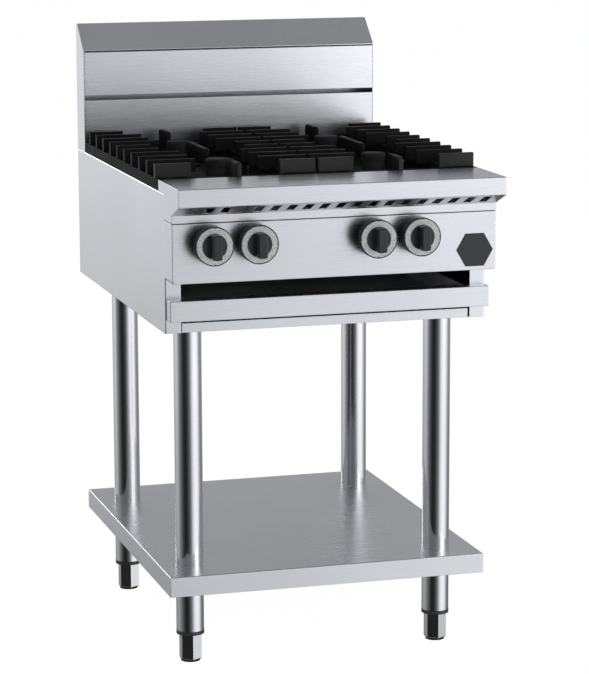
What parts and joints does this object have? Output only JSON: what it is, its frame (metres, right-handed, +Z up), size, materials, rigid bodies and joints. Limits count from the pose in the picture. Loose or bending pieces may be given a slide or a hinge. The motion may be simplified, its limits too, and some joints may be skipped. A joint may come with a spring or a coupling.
{
  "type": "commercial gas range",
  "caption": "Open-burner commercial gas boiling range on tubular legs with cast trivets, front controls, pull-out drip tray, flue upstand and undershelf.",
  "frame": {"origin": "on the floor under the middle of the footprint", "axes": "+Z up, the controls face -Y, +X to the right seen from the front"},
  "size_m": [0.6, 0.852, 1.13],
  "materials": {
    "stainless": "brushed satin",
    "leg_steel": "polished tube",
    "foot_steel": "polished",
    "burner_iron": "matt black",
    "cap_iron": "matt black enamel",
    "screw_steel": "bright",
    "black_plastic": "moulded",
    "badge_grey": "satin charcoal",
    "brass": "machined",
    "pipe_steel": "zinc",
    "pipe_aluminium": "drawn tube",
    "tray_enamel": "dark enamel",
    "black_enamel": "vitreous enamel",
    "trivet_iron": "matt black enamel on casting",
    "knob_black": "satin moulded",
    "ring_silver": "speckled silver"
  },
  "bodies": {
    "cabinet": {"side_panel_left": "stainless", "side_panel_right": "stainless", "back_panel": "stainless", "panel_screws": "screw_steel", "base_panel": "stainless", "lower_trim": "stainless", "front_rail": "stainless", "control_panel": "stainless", "badge": "badge_grey", "knob_bezels": "black_plastic", "tap_bodies": "brass", "gas_manifold": "pipe_steel", "gas_inlet": "pipe_steel", "supply_tubes": "pipe_aluminium", "hob_deck": "black_enamel", "pilots": "screw_steel", "flue_shell": "stainless", "flue_lower_panel": "stainless", "flue_upper_panel": "stainless", "tray_runner_left": "stainless", "tray_runner_right": "stainless", "undershelf": "stainless", "leg_sockets": "foot_steel", "leg_collars": "black_plastic", "burner_front_left": "burner_iron", "burner_front_right": "burner_iron", "burner_rear_left": "burner_iron", "burner_rear_right": "burner_iron", "leg_front_left": "leg_steel", "leg_front_right": "leg_steel", "leg_rear_left": "leg_steel", "leg_rear_right": "leg_steel"},
    "tray": {"drip_tray": "tray_enamel", "tray_front_rail": "stainless"},
    "trivet_left": {"trivet_left": "trivet_iron"},
    "trivet_right": {"trivet_right": "trivet_iron"},
    "cap_front_left": {"burner_cap_front_left": "cap_iron"},
    "cap_front_right": {"burner_cap_front_right": "cap_iron"},
    "cap_rear_left": {"burner_cap_rear_left": "cap_iron"},
    "cap_rear_right": {"burner_cap_rear_right": "cap_iron"},
    "plug_1": {"tap_plug_1": "brass"},
    "knob_1": {"knob_1": "knob_black", "knob_ring_1": "ring_silver", "tap_spindle_1": "screw_steel"},
    "plug_2": {"tap_plug_2": "brass"},
    "knob_2": {"knob_2": "knob_black", "knob_ring_2": "ring_silver", "tap_spindle_2": "screw_steel"},
    "plug_3": {"tap_plug_3": "brass"},
    "knob_3": {"knob_3": "knob_black", "knob_ring_3": "ring_silver", "tap_spindle_3": "screw_steel"},
    "plug_4": {"tap_plug_4": "brass"},
    "knob_4": {"knob_4": "knob_black", "knob_ring_4": "ring_silver", "tap_spindle_4": "screw_steel"},
    "foot_front_left": {"foot_front_left": "foot_steel"},
    "foot_front_right": {"foot_front_right": "foot_steel"},
    "foot_rear_left": {"foot_rear_left": "foot_steel"},
    "foot_rear_right": {"foot_rear_right": "foot_steel"}
  },
  "joints": [
    {"name": "tray_slide", "type": "slide", "parent": "cabinet", "child": "tray", "axis": [0, -1, 0], "range_m": [0, 0.42]},
    {"name": "trivet_left_lift", "type": "slide", "parent": "cabinet", "child": "trivet_left", "axis": [0, 0, 1], "range_m": [0, 0.12]},
    {"name": "trivet_right_lift", "type": "slide", "parent": "cabinet", "child": "trivet_right", "axis": [0, 0, 1], "range_m": [0, 0.12]},
    {"name": "cap_front_left_lift", "type": "slide", "parent": "cabinet", "child": "cap_front_left", "axis": [0, 0, 1], "range_m": [0, 0.01]},
    {"name": "cap_front_right_lift", "type": "slide", "parent": "cabinet", "child": "cap_front_right", "axis": [0, 0, 1], "range_m": [0, 0.01]},
    {"name": "cap_rear_left_lift", "type": "slide", "parent": "cabinet", "child": "cap_rear_left", "axis": [0, 0, 1], "range_m": [0, 0.01]},
    {"name": "cap_rear_right_lift", "type": "slide", "parent": "cabinet", "child": "cap_rear_right", "axis": [0, 0, 1], "range_m": [0, 0.01]},
    {"name": "knob_1_turn", "type": "hinge", "parent": "cabinet", "child": "plug_1", "pos_m": [-0.233, -0.34, 0.797], "axis": [0, -1, 0], "range_deg": [0, 180]},
    {"name": "knob_1_push", "type": "slide", "parent": "plug_1", "child": "knob_1", "axis": [0, 1, 0], "range_m": [0, 0.004], "stiffness_N_per_m": 1500, "springref_m": -0.003},
    {"name": "knob_2_turn", "type": "hinge", "parent": "cabinet", "child": "plug_2", "pos_m": [-0.152, -0.34, 0.797], "axis": [0, -1, 0], "range_deg": [0, 180]},
    {"name": "knob_2_push", "type": "slide", "parent": "plug_2", "child": "knob_2", "axis": [0, 1, 0], "range_m": [0, 0.004], "stiffness_N_per_m": 1500, "springref_m": -0.003},
    {"name": "knob_3_turn", "type": "hinge", "parent": "cabinet", "child": "plug_3", "pos_m": [0.066, -0.34, 0.797], "axis": [0, -1, 0], "range_deg": [0, 180]},
    {"name": "knob_3_push", "type": "slide", "parent": "plug_3", "child": "knob_3", "axis": [0, 1, 0], "range_m": [0, 0.004], "stiffness_N_per_m": 1500, "springref_m": -0.003},
    {"name": "knob_4_turn", "type": "hinge", "parent": "cabinet", "child": "plug_4", "pos_m": [0.147, -0.34, 0.797], "axis": [0, -1, 0], "range_deg": [0, 180]},
    {"name": "knob_4_push", "type": "slide", "parent": "plug_4", "child": "knob_4", "axis": [0, 1, 0], "range_m": [0, 0.004], "stiffness_N_per_m": 1500, "springref_m": -0.003},
    {"name": "foot_front_left_screw", "type": "slide", "parent": "cabinet", "child": "foot_front_left", "axis": [0, 0, -1], "range_m": [0, 0.02]},
    {"name": "foot_front_right_screw", "type": "slide", "parent": "cabinet", "child": "foot_front_right", "axis": [0, 0, -1], "range_m": [0, 0.02]},
    {"name": "foot_rear_left_screw", "type": "slide", "parent": "cabinet", "child": "foot_rear_left", "axis": [0, 0, -1], "range_m": [0, 0.02]},
    {"name": "foot_rear_right_screw", "type": "slide", "parent": "cabinet", "child": "foot_rear_right", "axis": [0, 0, -1], "range_m": [0, 0.02]}
  ]
}
